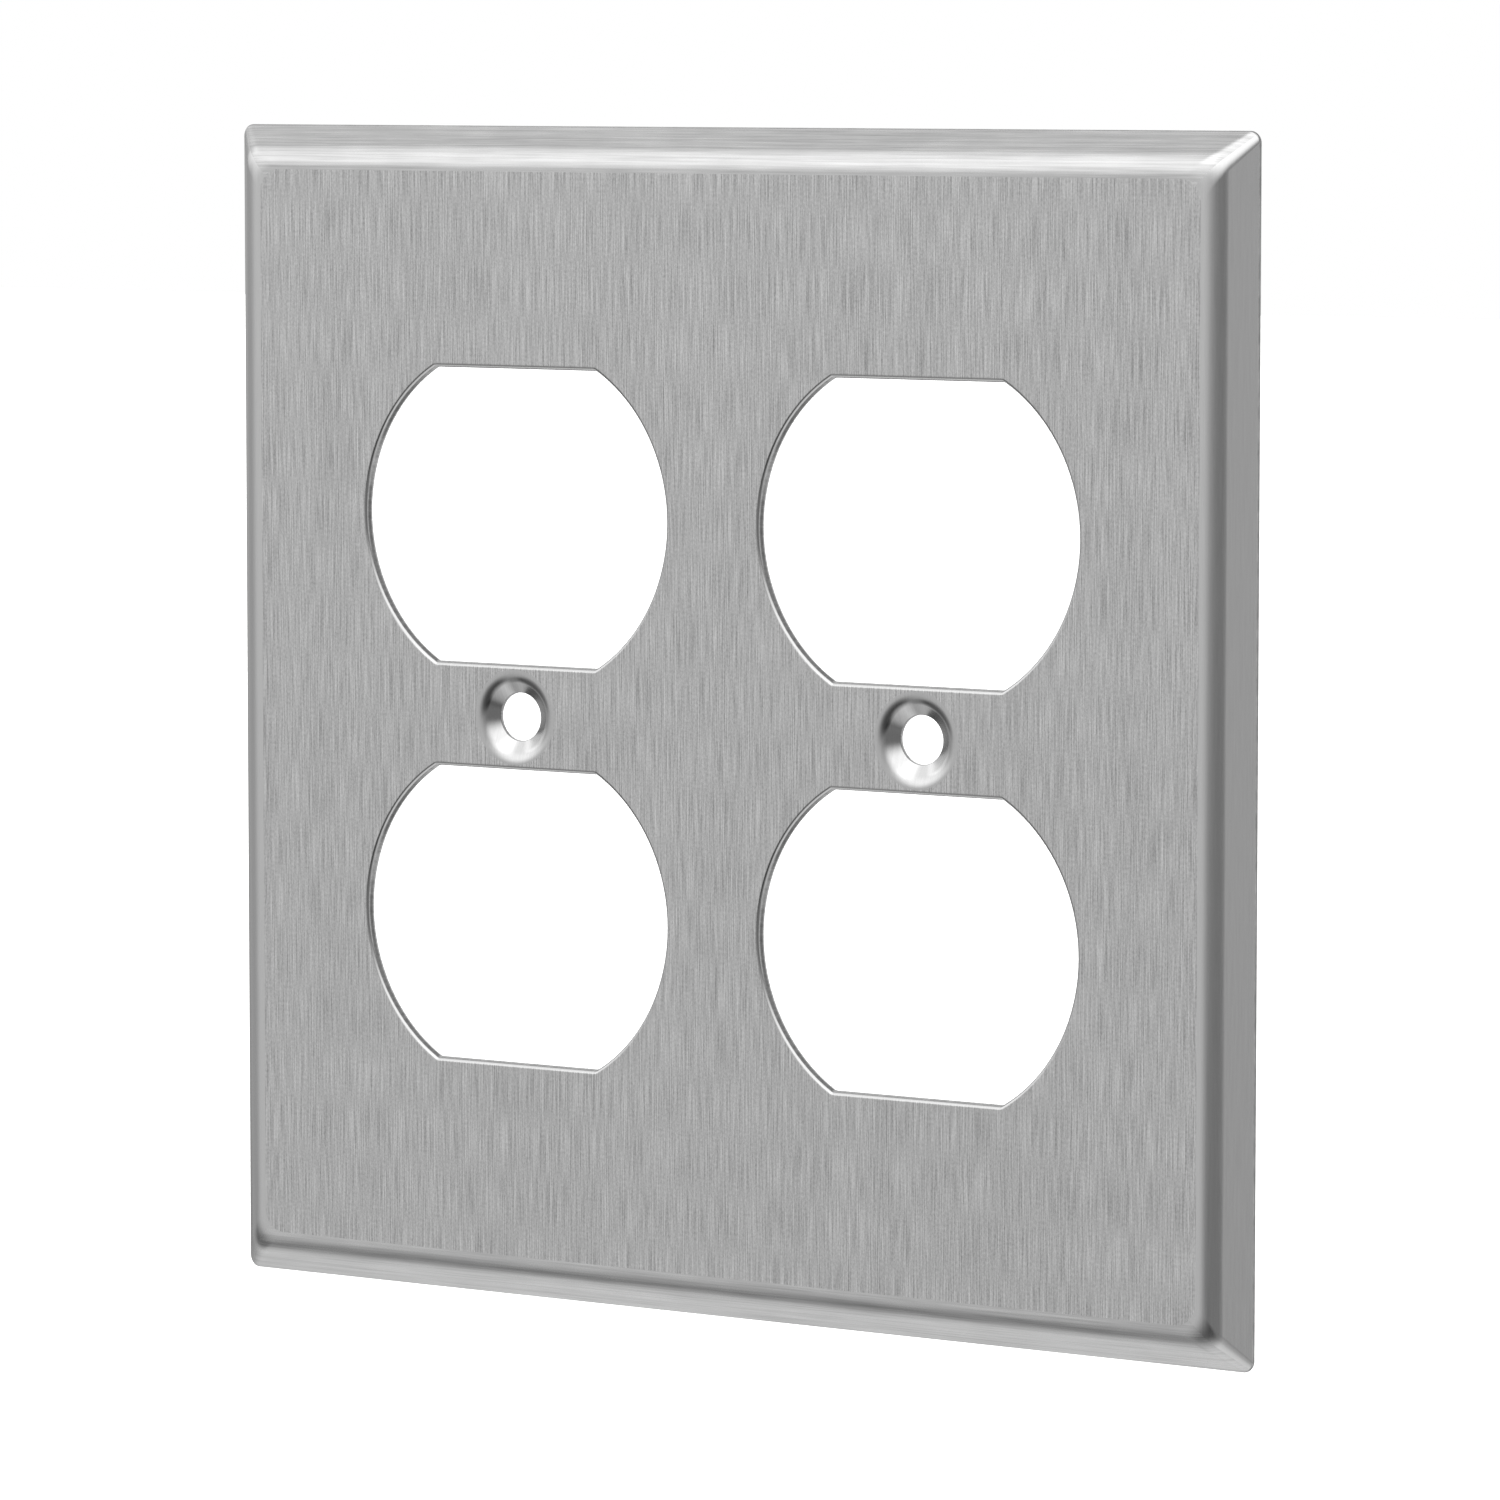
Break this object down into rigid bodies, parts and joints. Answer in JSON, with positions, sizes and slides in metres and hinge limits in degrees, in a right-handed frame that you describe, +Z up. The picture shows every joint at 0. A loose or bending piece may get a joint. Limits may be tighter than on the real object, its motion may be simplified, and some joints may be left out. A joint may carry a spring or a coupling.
{
  "type": "wall plate",
  "caption": "Flat pressed-steel wall plate with bevelled edges, round-sided receptacle openings with flat tops and bottoms, and dimpled screw holes between them.",
  "frame": {"origin": "centre of the plate's outline, on the wall plane that its rim lies on", "axes": "+Y into the wall, so the face looks along -Y; +Z up; +X to the right of someone facing the plate"},
  "size_m": [0.116, 0.0037, 0.1142],
  "materials": {
    "stainless_steel": "vertically brushed stainless steel"
  },
  "bodies": {
    "root": {"wall_plate": "stainless_steel"}
  },
  "joints": []
}
